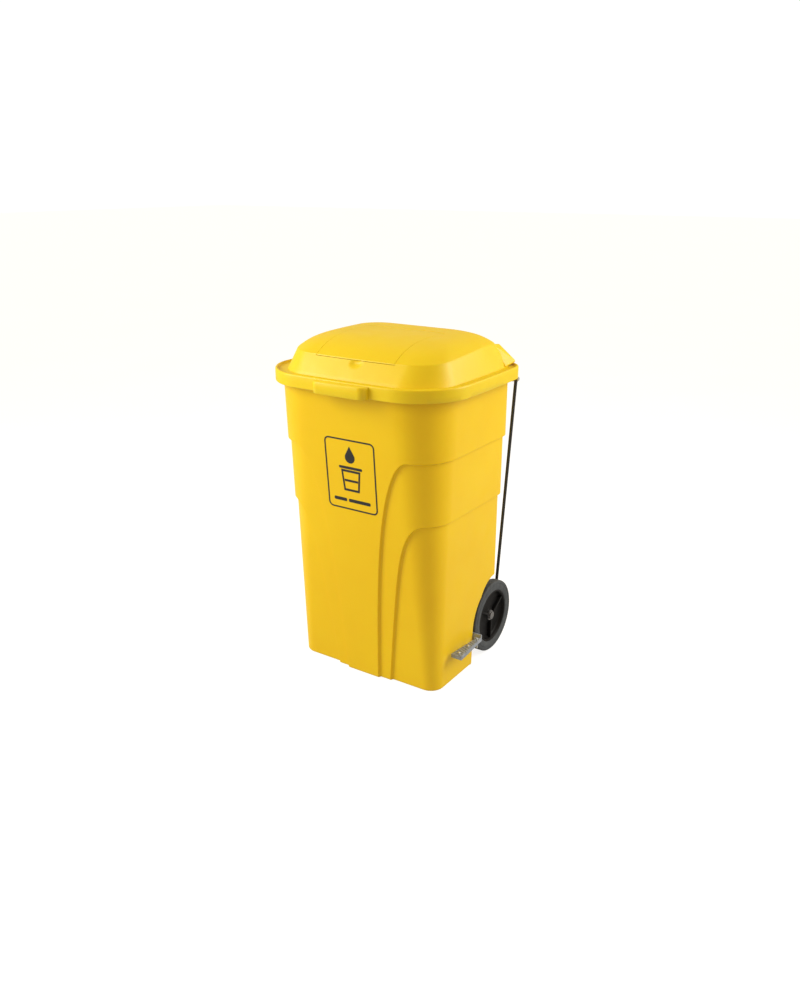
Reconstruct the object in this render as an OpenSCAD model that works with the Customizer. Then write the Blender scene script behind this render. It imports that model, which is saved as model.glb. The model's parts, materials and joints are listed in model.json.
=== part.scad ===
// Wheeled pedal waste can with a domed lid, a small disposal flap, rear wheels and a
// pedal that lifts the lid through a push rod. X to the right, Y to the back, Z up, mm.
// The floor is z = 0 and x = 0 is the middle of the can.

/* [Tub] */
// Half-width of the tub wall at the rim
tub_hw_top = 254.6; // [220:0.1:290]
// Half-width of the tub wall carried down to the floor, before the steps
tub_hw_base = 241.4; // [200:0.1:280]
// Front of the tub at the rim
tub_front_top = -211.7; // [-240:0.1:-180]
// Front of the tub at the floor
tub_front_base = -146.3; // [-200:0.1:-120]
// Rear wall of the tub
tub_rear = 205; // [180:0.5:215]
// Front corner radius at the rim
tub_rf_top = 122.9; // [60:0.1:140]
// Front corner radius at the floor
tub_rf_base = 54; // [40:0.5:120]
// Wall thickness of the tub
tub_wall = 4; // [3:0.1:6]
// Height of the top edge of the tub
tub_top = 830; // [800:0.5:834]
// Height of the upper step round the tub
step_hi = 652; // [600:1:700]
// Height of the lower step round the tub
step_lo = 484; // [430:1:540]
// Depth of each step
step_d = 7; // [3:0.5:12]
// Radius of the wheel arch about the axle
arch_r = 116; // [112:1:118]
// Height of the wheel space at the rear
arch_top = 238; // [225:1:245]
// Label width
label_w = 155; // [100:1:180]
// Middle of the label, to the right of the middle of the can
label_x = 6; // [-20:1:20]
// Label height
label_h = 193; // [120:1:220]
// Height of the label's lower edge
label_z = 498; // [430:1:600]

/* [Wheels and axle] */
// Wheel radius
wheel_r = 105; // [100:0.5:108]
// Axle position from the middle of the can
axle_y = 177; // [150:1:200]
// Axle radius
axle_r = 8; // [5:0.5:12]
// Half of the axle length
axle_hl = 226; // [225:0.5:228]
// Inner face of each tyre
tyre_in = 203.5; // [198:0.5:215]
// Outer face of each tyre
tyre_out = 231; // [229:0.5:236]
// Radius of the hub under the tyre
hub_r = 77; // [60:1:85]

/* [Lid] */
// Bottom edge of the lid skirt
skirt_z = 807.5; // [790:0.5:820]
// Top of the lid lip
lip_z = 840.4; // [830:0.1:850]
// Height of the middle of the dome
dome_top = 927; // [900:1:950]
// Lid wall thickness
lid_wall = 3.5; // [2.5:0.1:5]
// Half-width of the flap opening
flap_hw = 119; // [80:1:140]
// Front lower edge of the flap opening
flap_z = 881; // [870:1:890]
// Flap hinge line from the middle of the can
flap_hinge_y = 60; // [20:1:100]
// Height of the flap hinge line
flap_hinge_z = 920; // [905:0.5:925]
// Half-length of the front grip
grip_hl = 80; // [50:1:110]
// Middle of the front grip, to the right of the middle of the can
grip_x = 10; // [-20:1:20]

/* [Hinge and linkage] */
// Lid hinge line behind the skirt
hinge_y = 233; // [228:0.5:245]
// Height of the lid hinge line
hinge_z = 810; // [790:0.5:815]
// Radius of the lid hinge pins
hinge_pin_r = 4; // [2:0.5:6]
// Middle of each lid hinge from the middle of the can
hinge_x = 150; // [80:1:200]
// Radial play of every pin in its hole
play = 0.05; // [0.02:0.01:0.1]
// Push rod radius
rod_r = 4.5; // [3:0.5:6]
// Lever plate thickness
lever_t = 5; // [3:0.5:8]
// Inner face of the lever plate
lever_x = 180; // [176:0.5:188]
// Height of the pedal arm's front end
pad_z = 85; // [84:0.5:90]
// Slope of the pedal tread in degrees
pad_tilt = 2; // [1:0.5:4]

/* [Hidden] */
$fn = 64;
taper_h = 807.5;                 // height over which the tub wall is measured
rim_reach = 15;                  // how far the rim flange stands out of the side walls
rim_front = 9;                   // the same at the front and at the rear
rim_rear = 13;
rim_t = 4.5;                     // rim flange thickness
floor_t = 5;                     // thickness of the tub's floor
axle_z = wheel_r;
notch_front = axle_y - arch_r;    // front wall of the wheel space
arch_top_r = 85;                 // rounding between the arch and the level rear part
rib_x = 155;                     // outer axle ribs, and the inner pair
rib_in = 60;
rib_t = 10;
rib_boss_r = 21;
ear_r = 8.5;                     // ring of each lid hinge ear and knuckle
ear_t = 6;
rod_top = [253, 215, 797];
rod_bot = [190.5, 259.9, axle_z - 13.65];
rod_pin_r = 3.5;
pad_in = 236;                    // pedal tread, inner and outer edge
pad_out = 268;
pad_y = -60;                     // front end of the pedal arm
pad_tip = 8;                     // how far the tread reaches in front of the arm
tread_len = 96;
tread_t = 3;
narrow_in = 14;                  // how much the tread's inner and outer edges draw in to the rear
narrow_out = 3;
channel_h = 9;                   // depth of the channel under the tread
cross_y = notch_front + 4;       // front face of the plate across to the pedal arm
cross_t = 4;
cross_z = 84;                    // lower edge of that plate, and its height
cross_h = 14;
arm_x = 246;                     // bar from the heel plate back to the plate across
arm_w = 8;
heel_x = 248;                    // upright heel plate behind the tread
heel_y = 30;
heel_z = 76;
heel_w = 14;
boss_in = 194.5;                 // inner and outer end of the hub boss
boss_out = 219.6;
rivet_r = 2;
fit = 0.02;                      // radial gap between fixed parts
nose = 2;                        // half-run of a step's slope
lug_in = 240;                    // rod lug under the lid, inner face
lug_t = 6;
flap_pin_r = 2;
flap_barrel_r = 8.1;

function mix(a, b, t) = a + (b - a) * t;
function unit(t) = min(1, max(0, t));

// A point on a rounded outline o = [half-width, front, rear, front radius, rear radius],
// s along the edge from the middle of the front; returns x, y and the outward normal.
function edge_pt(s, o) =
  let(a = o[0], f = o[1], r = o[2], rf = o[3], rr = o[4],
      l1 = a - rf, l2 = l1 + rf * PI / 2, l3 = l2 + r - rr - f - rf, l4 = l3 + rr * PI / 2)
  s < l1 ? [s, f, 0, -1] :
  s < l2 ? let(t = (s - l1) / rf * 180 / PI - 90)
    [l1 + rf * cos(t), f + rf + rf * sin(t), cos(t), sin(t)] :
  s < l3 ? [a, f + rf + s - l2, 1, 0] :
  s < l4 ? let(t = (s - l3) / rr * 180 / PI)
    [a - rr + rr * cos(t), r - rr + rr * sin(t), cos(t), sin(t)] :
  [a - rr - (s - l4), r, 0, 1];

// Edge stations: s0 on the front line, then the two corners, the side and the rear line
function stations(o, s0, nf, nr) =
  let(l2 = o[0] - o[3] + o[3] * PI / 2, l3 = l2 + o[2] - o[4] - o[1] - o[3],
      l4 = l3 + o[4] * PI / 2, l5 = l4 + o[0] - o[4])
  concat([for (k = [1 : nf]) mix(s0, l2, k / nf)], [for (k = [1 : 4]) mix(l2, l3, k / 4)],
         [for (k = [1 : nr]) mix(l3, l4, k / nr)], [for (k = [1 : 2]) mix(l4, l5, k / 3)]);

// Closes a right-hand half outline into a full ring
function mirrored(h) = concat(h, [for (i = [len(h) - 1 : -1 : 1]) [-h[i][0], h[i][1], h[i][2]]]);

// A solid skinned over a stack of rings with equal point counts
module skin(rings) {
  n = len(rings[0]);
  last = (len(rings) - 1) * n;
  bottom = [for (i = [0 : n - 1]) i];
  top = [for (i = [n - 1 : -1 : 0]) last + i];
  sides = [for (k = [0 : n : last - n], i = [0 : n - 1]) let(j = (i + 1) % n)
    each [[k + i, k + n + i, k + n + j], [k + i, k + n + j, k + j]]];
  polyhedron(points = [for (r = rings) each r], faces = concat([bottom, top], sides), convexity = 8);
}

module along_x(x0, x1) { translate([x0, 0, 0]) rotate([90, 0, 90]) linear_extrude(x1 - x0) children(); }
module rod_x(x0, x1, r, y, z) { translate([x0, y, z]) rotate([0, 90, 0]) cylinder(r = r, h = x1 - x0); }
module both() { children(); mirror([1, 0, 0]) children(); }

// ---- tub

function tub_outline(z) = let(t = z / taper_h)
  [mix(tub_hw_base, tub_hw_top, t), mix(tub_front_base, tub_front_top, t), tub_rear,
   mix(tub_rf_base, tub_rf_top, t), mix(26, 54, t)];
// Half-width of the raised front panel: straight below, flaring out into the step above
function flare(z, top, w0, lean, fan, q) = let(t = unit(z / top))
  w0 + lean * pow(t, 1.1) + fan * (1 - sqrt(max(0, 1 - pow(t, q))));
function panel_a(z) = flare(z, step_hi, 50, 40, 83, 3.75);
function panel_b(z) = flare(z, step_lo, 86, 60, 64, 8);
function tub_ring(z, inset) =
  let(o = tub_outline(z), a = panel_a(z), b = max(panel_b(z), a + 3 * nose),
      ss = concat([0, a * 0.5, a - nose, a + nose, b - nose / 2, b + nose], stations(o, b + nose, 14, 7)))
  mirrored([for (s = ss) let(p = edge_pt(s, o),
      d = inset + (z < step_hi && s > a ? step_d : 0) + (z < step_lo && s > b ? step_d : 0))
    [p[0] - p[2] * d, p[1] - p[3] * d, z]]);
tub_levels = [0, 110, 220, 300, 360, 405, 440, 462, 474, step_lo - 2, step_lo + 2,
  530, 570, 600, 622, 638, 646, step_hi - 2, step_hi + 2, 730, taper_h];
module tub_form(inset, z0, z1) {
  levels = [for (l = tub_levels) if (l > z0 + 5 && l < z1 - 5) l];
  skin([for (z = concat([z0], levels, [z1])) tub_ring(z, inset)]);
}
module notch2d(grow) {
  translate([axle_y, axle_z]) circle(arch_r + grow, $fn = 128);
  translate([axle_y, arch_top - arch_top_r]) circle(arch_top_r + grow, $fn = 96);
  translate([notch_front - grow, -20]) square([2 * arch_r, axle_z + 20]);
  translate([axle_y, -20]) square([2 * arch_r, arch_top + 20 + grow]);
}
module tub() color([0.95, 0.76, 0.12]) {
  difference() {
    union() {
      difference() {
        tub_form(0, 0, tub_top);
        tub_form(tub_wall, floor_t, tub_top + 5);
      }
      intersection() {   // the wall over the wheel space
        tub_form(1, 0, 400);
        along_x(-300, 300) notch2d(tub_wall);
      }
      difference() {     // rim flange
        skin([for (z = [tub_top - rim_t, tub_top]) rim_ring(z, rim_reach)]);
        skin([for (z = [tub_top - rim_t - 1, tub_top + 1]) rim_ring(z, -1)]);
      }
    }
    along_x(-300, 300) notch2d(0);
  }
  for (x = [-rib_x, -rib_in, rib_in, rib_x])   // axle ribs
    difference() {
      along_x(x - rib_t / 2, x + rib_t / 2) rib2d();
      rod_x(x - rib_t, x + rib_t, axle_r + play, axle_y, axle_z);
    }
  both() for (x = [hinge_x - 22, hinge_x + 16])   // lid hinge ears
    difference() {
      along_x(x, x + ear_t) ear2d();
      rod_x(x - 1, x + ear_t + 1, hinge_pin_r + play, hinge_y, hinge_z);
    }
}
function rim_ring(z, out) =
  let(o = tub_outline(tub_top),
      w = [o[0] + out, o[1] - min(out, rim_front), o[2] + min(out, rim_rear), o[3] + out, o[4] + out])
  mirrored([for (s = concat([0, 60], stations(w, 120, 14, 7))) let(p = edge_pt(s, w)) [p[0], p[1], z]]);
module rib2d() {
  intersection() {
    notch2d(1.5);
    union() {
      polygon([[notch_front - 4, 30], [notch_front - 4, arch_top + 4], [tub_rear - 3, arch_top + 4],
        [tub_rear - 3, 190], [axle_y + 20, axle_z + 8], [axle_y + 14, axle_z - 16],
        [axle_y - 14, axle_z - 16]]);
      translate([axle_y, axle_z]) circle(rib_boss_r);
    }
  }
}
module ear2d() {
  hull() {
    translate([hinge_y, hinge_z]) circle(ear_r);
    translate([hinge_y - 4, hinge_z - 22]) circle(6);
  }
  hull() {
    translate([hinge_y - 4, hinge_z - 22]) circle(6);
    translate([tub_rear - 3, hinge_z - 60]) square([3.2, 50]);
  }
}
module label() color([0.12, 0.12, 0.12])
  translate([0, tub_front_base, 0]) rotate([atan((tub_front_base - tub_front_top) / taper_h), 0, 0])
    translate([label_x, -0.03, label_z + label_h / 2]) rotate([90, 0, 0]) linear_extrude(0.5)
      difference() { plate2d(label_w, label_h, 12); plate2d(label_w - 8, label_h - 8, 9); }
module plate2d(w, h, r) {
  square([w - 2 * r, h], center = true);
  square([w, h - 2 * r], center = true);
  for (x = [-1, 1], y = [-1, 1]) translate([x * (w / 2 - r), y * (h / 2 - r)]) circle(r);
}

// ---- axle and wheels

module axle() color([0.7, 0.71, 0.73])
  translate([-axle_hl, axle_y, axle_z]) rotate([0, 90, 0]) {
    cylinder(r1 = axle_r - 1.5, r2 = axle_r, h = 1.5);
    translate([0, 0, 1.5]) cylinder(r = axle_r, h = 2 * axle_hl - 3);
    translate([0, 0, 2 * axle_hl - 1.5]) cylinder(r1 = axle_r, r2 = axle_r - 1.5, h = 1.5);
  }
module tube_x(x0, x1, ro, ri) difference() {
  rod_x(x0, x1, ro, axle_y, axle_z);
  rod_x(x0 - 1, x1 + 1, ri, axle_y, axle_z);
}
module axle_spacers() color([0.25, 0.25, 0.27]) {
  tube_x(rib_x + rib_t / 2 + 0.4, lever_x - 0.8, 12, axle_r + play);
  tube_x(-193, -(rib_x + rib_t / 2 + 0.4), 12, axle_r + play);
}
module axle_washers() color([0.75, 0.76, 0.78]) 
  both() tube_x(boss_out + 0.4, boss_out + 2, 15, axle_r + play);
module axle_caps() color([0.75, 0.76, 0.78]) both() difference() {
  union() {
    rod_x(boss_out + 2.2, boss_out + 4.2, 14, axle_y, axle_z);
    rod_x(boss_out + 4.2, axle_hl + 2, 11, axle_y, axle_z);
  }
  rod_x(boss_out + 1, axle_hl + 0.3, axle_r + play, axle_y, axle_z);
}
module tyre() {
  w = tyre_out - tyre_in;
  round_r = 5;   // shoulder of the tread
  translate([tyre_in, axle_y, axle_z]) rotate([0, 90, 0]) rotate_extrude($fn = 128) {
    translate([hub_r, 0]) square([wheel_r - hub_r - round_r, w]);
    translate([wheel_r - round_r - 1, round_r]) square([round_r + 1, w - 2 * round_r]);
    for (z = [round_r, w - round_r]) translate([wheel_r - round_r, z]) circle(round_r, $fn = 48);
  }
}
module hub() {
  w = tyre_out - tyre_in;
  difference() {
    union() {
      translate([tyre_in + 2, axle_y, axle_z]) rotate([0, 90, 0]) rotate_extrude($fn = 128) {
        translate([hub_r - 7, 0]) square([7 - 0.05, w - 4]);
        translate([14, 7]) square([hub_r - 20, 4]);
      }
      rod_x(boss_in, boss_out, 20, axle_y, axle_z);
      for (k = [0 : 2]) translate([tyre_in + 12, axle_y, axle_z]) rotate([30 + 120 * k, 0, 0])
        translate([0, 16, -3.5]) cube([11, hub_r - 22, 7]);
    }
    rod_x(boss_in - 2, boss_out + 2, 11 + play, axle_y, axle_z);
  }
}
module bush() tube_x(boss_in, boss_out, 11, axle_r + play);
module tyre_right() color([0.33, 0.33, 0.34]) tyre();
module hub_right() color([0.06, 0.06, 0.07]) hub();
module bush_right() color([0.85, 0.85, 0.82]) bush();
module tyre_left() color([0.33, 0.33, 0.34]) mirror([1, 0, 0]) tyre();
module hub_left() color([0.06, 0.06, 0.07]) mirror([1, 0, 0]) hub();
module bush_left() color([0.85, 0.85, 0.82]) mirror([1, 0, 0]) bush();

// ---- lid

// Bows an outline outward at the front and the sides, as a moulding is
function bowed(p, o, bf, bs) =
  let(cy = (o[1] + o[2]) / 2, u = unit(abs(p[0]) / o[0]), v = min(1, max(-1, (p[1] - cy) / (o[2] - cy))))
  [p[0] + sign(p[0]) * bs * (1 - v * v) * pow(u, 3),
   p[1] - (v < 0 ? bf * (1 - u * u) * pow(abs(v), 3) : 0)];
// Ring of the lid: outline, height at the front, height at the rear
function lid_ring(o, zf, zr) =
  mirrored([for (s = concat([0, (o[0] - o[3]) * 0.45], stations(o, (o[0] - o[3]) * 0.9, 14, 8)))
    let(p = edge_pt(s, o), q = bowed(p, o, 8.4 * (o[0] / 276), 6.2))
    [q[0], q[1], mix(zf, zr, unit((p[1] - o[1]) / rise_len))]]);
function inset(o, d) = [o[0] - d, o[1] + d, o[2] - d, max(o[3] - d, 4), max(o[4] - d, 4)];
band = [276.3, -223.9, 223.9, 134, 62];
gutter_z = 834.6;
rise_len = 220;   // distance over which a dome section rises from its front to its rear height
// Dome sections from the foot to the top: outline, front height, rear height
dome = [
  [[243.5, -191, 214, 101, 40], gutter_z, gutter_z],
  [[241.5, -189, 212, 100, 39], 839, 839],
  [[222.5, -158.5, 163, 74, 30], 882.5, 899],
  [[219, -154, 160, 72, 28], 887, 902],
  [[205, -126, 155, 66, 30], 903, 910],
  [[186, -94, 149, 60, 34], 914.5, 918],
  [[160, -56, 142, 56, 40], 923, 923.5],
  [[126, -12, 134, 50, 44], 926, 926],
  [[60, 40, 110, 25, 25], dome_top, dome_top]];
// Skirt and lip from the bottom edge up to the gutter round the dome: inset, height
lip = [[0, skirt_z], [0, 836], [1.2, 839.6], [4, lip_z], [7, 839.6], [8.5, 836], [11, gutter_z]];
// How far a wall d thick lowers a dome section whose front is at height z
function sink(z, d) = z < 836 || z > 880 ? d : 0;
function skirt_rings(d) = d == 0 ?
  [for (r = lip) lid_ring(inset(band, r[0]), r[1], r[1])] :
  [for (z = [skirt_z - 2, gutter_z - d]) lid_ring(inset(band, d), z, z)];
function dome_rings(d) = [for (r = dome)
  lid_ring(inset(r[0], r[1] < 900 ? d * 0.9 : 0), r[1] - sink(r[1], d), r[2] - sink(r[1], d))];
module lid_form(d) skin(concat(skirt_rings(d), dome_rings(d)));
// Space of the flap, from the front of the lid to just behind the flap's hinge line
module flap_zone(gap, behind) {
  w = flap_hw - gap;
  front = -300;
  rear = flap_hinge_y + behind;
  translate([0, (front + rear) / 2, flap_z + gap]) linear_extrude(100) plate2d(2 * w, rear - front, 3);
}
module lid() color([0.93, 0.82, 0.2]) {
  difference() {
    union() {
      difference() {
        union() {
          lid_form(0);
          both() hull() {   // fairing over each rear corner
            translate([214, 150, 891]) sphere(5, $fn = 24);
            translate([216, 178, 887]) sphere(5, $fn = 24);
            translate([206, 205, 846]) sphere(5, $fn = 24);
            translate([247, 206, 846]) sphere(5, $fn = 24);
            translate([243, 166, 839]) sphere(4, $fn = 24);
          }
          grip();
        }
        lid_form(lid_wall);
        grip_hollow();
      }
      both() rod_x(flap_hw + 0.5, flap_hw + 9, 5, flap_hinge_y, flap_hinge_z);
      both() hull() {   // hinge knuckle and its web on the skirt
        rod_x(hinge_x - 15, hinge_x + 15, ear_r, hinge_y, hinge_z);
        translate([hinge_x - 15, 221, 812]) cube([30, 2.5, 20]);
      }
      rod_lug();
    }
    flap_zone(0, 8.5);
    both() rod_x(hinge_x - 20, hinge_x + 20, hinge_pin_r + play, hinge_y, hinge_z);
    both() rod_x(flap_hw - 1, flap_hw + 20, flap_pin_r + play, flap_hinge_y, flap_hinge_z);
  }
}
module grip2d(d) {
  translate([0, -215]) {
    translate([-grip_hl + d, -18]) square([2 * grip_hl - 2 * d, 18]);
    translate([-grip_hl + 20, -38 + d]) square([2 * grip_hl - 40, 30]);
    for (x = [-1, 1]) translate([x * (grip_hl - 20), -18]) circle(20 - d);
  }
}
module grip() translate([grip_x, 0, skirt_z]) linear_extrude(30) grip2d(0);
module grip_hollow() translate([grip_x, 0, skirt_z - 1]) linear_extrude(27.5)
  difference() {
    grip2d(4);
    translate([-100, -234]) square([200, 60]);
  }
module rod_lug() difference() {
  along_x(lug_in, lug_in + lug_t) hull() {
    translate([rod_top[1], rod_top[2]]) circle(8);
    translate([208.5, 812]) square([8, 12]);
  }
  rod_x(lug_in - 1, lug_in + lug_t + 1, 3 + play, rod_top[1], rod_top[2]);
}
module lid_hinge_pins() color([0.75, 0.76, 0.78]) both() {
  rod_x(hinge_x - 24, hinge_x + 27, hinge_pin_r, hinge_y, hinge_z);
  rod_x(hinge_x - 26, hinge_x - 24, 6.5, hinge_y, hinge_z);
}
module lid_pin_clips() color([0.3, 0.3, 0.32]) both() difference() {
  rod_x(hinge_x + 22.4, hinge_x + 24.4, 7, hinge_y, hinge_z);
  rod_x(hinge_x + 22, hinge_x + 25, hinge_pin_r + 0.02, hinge_y, hinge_z);
}
module flap() color([0.93, 0.82, 0.2]) {
  w = flap_hw - 1;
  difference() {
    union() {
      intersection() {
        difference() { lid_form(0); lid_form(lid_wall - 0.3); }
        flap_zone(1, 4.5);
      }
      rod_x(-w, w, 4, flap_hinge_y, flap_hinge_z);
      intersection() {   // barrel that closes the gap behind the hinge line
        rod_x(-w + 4, w - 4, flap_barrel_r, flap_hinge_y, flap_hinge_z);
        lid_form(0.5);
      }
      for (x = [-90, -30, 30, 90])
        translate([x - 2, flap_hinge_y - 26, flap_hinge_z - 1]) cube([4, 26, 4.6]);
    }
    both() rod_x(w - 14, w + 1, flap_pin_r + play, flap_hinge_y, flap_hinge_z);
  }
}
module flap_hinge_pins() color([0.75, 0.76, 0.78])
  both() rod_x(flap_hw - 13, flap_hw + 8.5, flap_pin_r, flap_hinge_y, flap_hinge_z);

// ---- pedal linkage

slot_c = [rod_bot[1] - 2.2, rod_bot[2] + 0.55];
slot_r = rod_pin_r + 1.3;
lever_end = [cross_y + 3, cross_z + cross_h / 2];
module lever2d() {
  difference() {
    union() {
      hull() {
        translate([axle_y, axle_z]) circle(17);
        translate(slot_c) circle(13);
      }
      hull() {
        translate([axle_y, axle_z]) circle(17);
        translate(lever_end) square([4, cross_h], center = true);
      }
    }
    hull() for (d = [-4.2, 4.2]) translate(slot_c + [d, 0]) circle(slot_r, $fn = 32);
    translate([axle_y, axle_z]) circle(13 + play);
  }
}
module pedal_lever() color([0.62, 0.63, 0.65]) {
  along_x(lever_x, lever_x + lever_t) lever2d();
  translate([lever_x, cross_y, cross_z]) cube([arm_x + arm_w - lever_x, cross_t, cross_h]);
  translate([lever_x, cross_y, cross_z]) cube([lever_t, 8, cross_h]);
  translate([arm_x, heel_y, cross_z - 6]) cube([arm_w, cross_y + cross_t - heel_y, 12]);
  difference() {   // channel under the tread
    on_pad() translate([0, -pad_tip, 0]) difference() {
      linear_extrude(channel_h) tread2d(4, pad_tip, tread_len + 4);
      translate([0, 0, -1]) linear_extrude(channel_h - 3) tread2d(7, pad_tip - 1, tread_len - 3);
    }
    rivet_holes();
  }
  translate([heel_x, heel_y, heel_z]) difference() {   // upright heel plate
    union() {
      cube([heel_w, 3, 24]);
      translate([heel_w / 2, 0, 24]) rotate([-90, 0, 0]) cylinder(r = heel_w / 2, h = 3);
    }
    translate([heel_w / 2, -1, 24]) rotate([-90, 0, 0]) cylinder(r = 2.5, h = 5);
  }
}
// Plan of the tread drawn in by d, from y0 to y1 behind its front edge
module tread2d(d, y0, y1) {
  function inner(y) = pad_in + narrow_in * y / tread_len + d;
  function outer(y) = pad_out - narrow_out * y / tread_len - d;
  polygon([[inner(y0), y0], [outer(y0), y0], [outer(y1), y1], [inner(y1), y1]]);
}
module on_pad() translate([0, pad_y, pad_z]) rotate([pad_tilt, 0, 0]) children();
module at_rivets() on_pad()
  for (p = [[pad_in + 16.5, 6], [pad_in + 19.3, 50]]) translate(p) children();
module rivet_holes() at_rivets() translate([0, 0, -3]) cylinder(r = rivet_r + fit / 2, h = 40, $fn = 32);
module pedal_tread() color([0.7, 0.71, 0.73]) difference() {
  edge_t = 2.5;
  on_pad() translate([0, -pad_tip, 0]) {
    translate([0, 0, channel_h + fit]) linear_extrude(tread_t) tread2d(0, 0, tread_len);
    translate([0, 0, 1]) difference() {   // turned-down edges
      linear_extrude(channel_h) tread2d(0, 0, tread_len);
      translate([0, 0, -1]) linear_extrude(channel_h + 2) tread2d(edge_t, edge_t, tread_len + 1);
    }
    intersection() {
      translate([0, 0, channel_h + tread_t - 0.1]) linear_extrude(3) tread2d(0.5, 1, tread_len - 1);
      for (k = [0 : 10]) translate([(pad_in + pad_out) / 2, 4 + 8.8 * k, channel_h + tread_t])
        rotate([0, 0, -20]) translate([-30, -1.2, 0]) cube([60, 2.4, 1.3]);
    }
  }
  rivet_holes();
}
module pedal_rivets() color([0.8, 0.8, 0.82]) at_rivets() {
  translate([0, 0, 1]) cylinder(r = rivet_r, h = 12.8, $fn = 32);
  translate([0, 0, 13.6]) cylinder(r1 = 3.6, r2 = 2.4, h = 1.4, $fn = 32);
}
module lever_bush() color([0.12, 0.12, 0.13]) tube_x(lever_x - 0.5, 193, 13, axle_r + play);
module push_rod() color([0.1, 0.1, 0.11]) {
  d = rod_bot - rod_top;
  len_rod = norm(d);
  translate(rod_top) rotate([0, acos(d[2] / len_rod), atan2(d[1], d[0])])
    translate([0, 0, 6]) cylinder(r = rod_r, h = len_rod - 6);
  difference() {
    rod_x(rod_top[0] - rod_r, rod_top[0] + rod_r, 7, rod_top[1], rod_top[2]);
    rod_x(rod_top[0] - 9, rod_top[0] + 9, 3 + play, rod_top[1], rod_top[2]);
  }
  rod_x(rod_bot[0] - rod_r, rod_bot[0] + rod_r, 7, rod_bot[1], rod_bot[2]);
  rod_x(lever_x - 6, rod_bot[0], rod_pin_r, rod_bot[1], rod_bot[2]);
}
module rod_top_pin() color([0.75, 0.76, 0.78]) {
  rod_x(lug_in - 2, 261, 3, rod_top[1], rod_top[2]);
  rod_x(lug_in - 4, lug_in - 2, 5.5, rod_top[1], rod_top[2]);
  rod_x(258.3, 261, 5, rod_top[1], rod_top[2]);
}
module rod_clips() color([0.75, 0.76, 0.78]) difference() {
  rod_x(lever_x - 4, lever_x - 2, 8.5, rod_bot[1], rod_bot[2]);
  rod_x(lever_x - 5, lever_x - 1, rod_pin_r + 0.02, rod_bot[1], rod_bot[2]);
}

tub();
label();
axle();
axle_spacers();
axle_washers();
axle_caps();
tyre_right();
hub_right();
bush_right();
tyre_left();
hub_left();
bush_left();
lid();
lid_hinge_pins();
lid_pin_clips();
flap();
flap_hinge_pins();
pedal_lever();
pedal_tread();
pedal_rivets();
lever_bush();
push_rod();
rod_top_pin();
rod_clips();
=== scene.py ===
"""Looks of the wheeled pedal waste can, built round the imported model."""

import json
import math

import bmesh
import bpy
import numpy as np
from mathutils import Matrix, Vector


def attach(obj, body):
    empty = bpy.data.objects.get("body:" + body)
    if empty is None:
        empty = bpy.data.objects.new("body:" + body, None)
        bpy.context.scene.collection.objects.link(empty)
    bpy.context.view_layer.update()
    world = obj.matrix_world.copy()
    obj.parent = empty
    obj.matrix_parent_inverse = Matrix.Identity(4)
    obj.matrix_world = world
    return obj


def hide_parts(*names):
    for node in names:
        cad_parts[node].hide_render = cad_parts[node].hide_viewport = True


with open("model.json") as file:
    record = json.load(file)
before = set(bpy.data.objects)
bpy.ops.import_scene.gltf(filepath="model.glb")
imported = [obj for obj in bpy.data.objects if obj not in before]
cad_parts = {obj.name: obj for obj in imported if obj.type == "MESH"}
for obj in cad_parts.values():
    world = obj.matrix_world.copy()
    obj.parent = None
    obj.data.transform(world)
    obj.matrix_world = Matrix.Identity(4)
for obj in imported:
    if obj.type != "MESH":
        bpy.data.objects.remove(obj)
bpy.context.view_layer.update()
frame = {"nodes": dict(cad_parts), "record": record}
MM = 0.001

# Driving sizes of the mouldings, in millimetres
TAPER_H = 807.5
STEP_HI, STEP_LO, STEP_D, STEP_RUN = 652.0, 484.0, 7.0, 4.2
TUB_TOP, RIM_T, RIM_REACH, WALL = 830.0, 4.5, 15.0, 4.0
ARCH_R, ARCH_TOP, ARCH_TOP_R = 116.0, 238.0, 85.0
SKIRT_Z, LIP_Z, LID_WALL, GUTTER_Z = 807.5, 840.4, 3.5, 834.6
HINGE_X, FLAP_HW, FLAP_Z, DENT_Z = 150.0, 119.0, 881.0, 875.0
GRIP_X, LABEL_X, LABEL_Z = 10.0, 6.0, 594.5   # middles of the grip and the label
LABEL_W, LABEL_H = 155.0, 193.0
PAD_Y, PAD_Z, PAD_TILT = -60.0, 85.0, 2.0
SIDES = (-1, 1)   # left and right
PAST_SIDES = 320.0   # outside the tub on both sides

# The tub's outline at the floor and what it gains over TAPER_H of height:
# half-width, front, rear, front radius, rear radius
FOOT_OUTLINE = (241.4, -146.3, 205.0, 54.0, 26.0)
OUTLINE_GAIN = (13.2, -65.4, 0.0, 68.9, 28.0)

# The camera, in degrees and metres, seen from the middle of the picture
VIEW_AZIMUTH, VIEW_ELEVATION, VIEW_DISTANCE = 33.76, 19.57, 2.487
VIEW_TARGET = (0.0209, 0.4767)   # to the right of the can's axis, and height
LENS = 32.86

# Light that the floor and the background give to the can and to the picture
FLOOR_GLOW, FLOOR_WHITE = 0.25, 0.84
WORLD_LIGHT, WORLD_WHITE = 0.66, 1.05
WARM = (1, 0.78, 0.54, 1)
KEY_TINT = (0.98, 1.0, 0.94)
KEY_ELEVATION, KEY_DISTANCE, KEY_AIM = 28, 2.6, (0, 0, 0.45)
KEY_SIZE = (1.3, 1.8)


def joint_at(name):
    """Where a joint's axis passes, in millimetres."""
    joints = frame["record"]["behaviour"]["joints"]
    return [v / MM for j in joints if j["name"] == name for v in j["pos_m"]]


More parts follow.
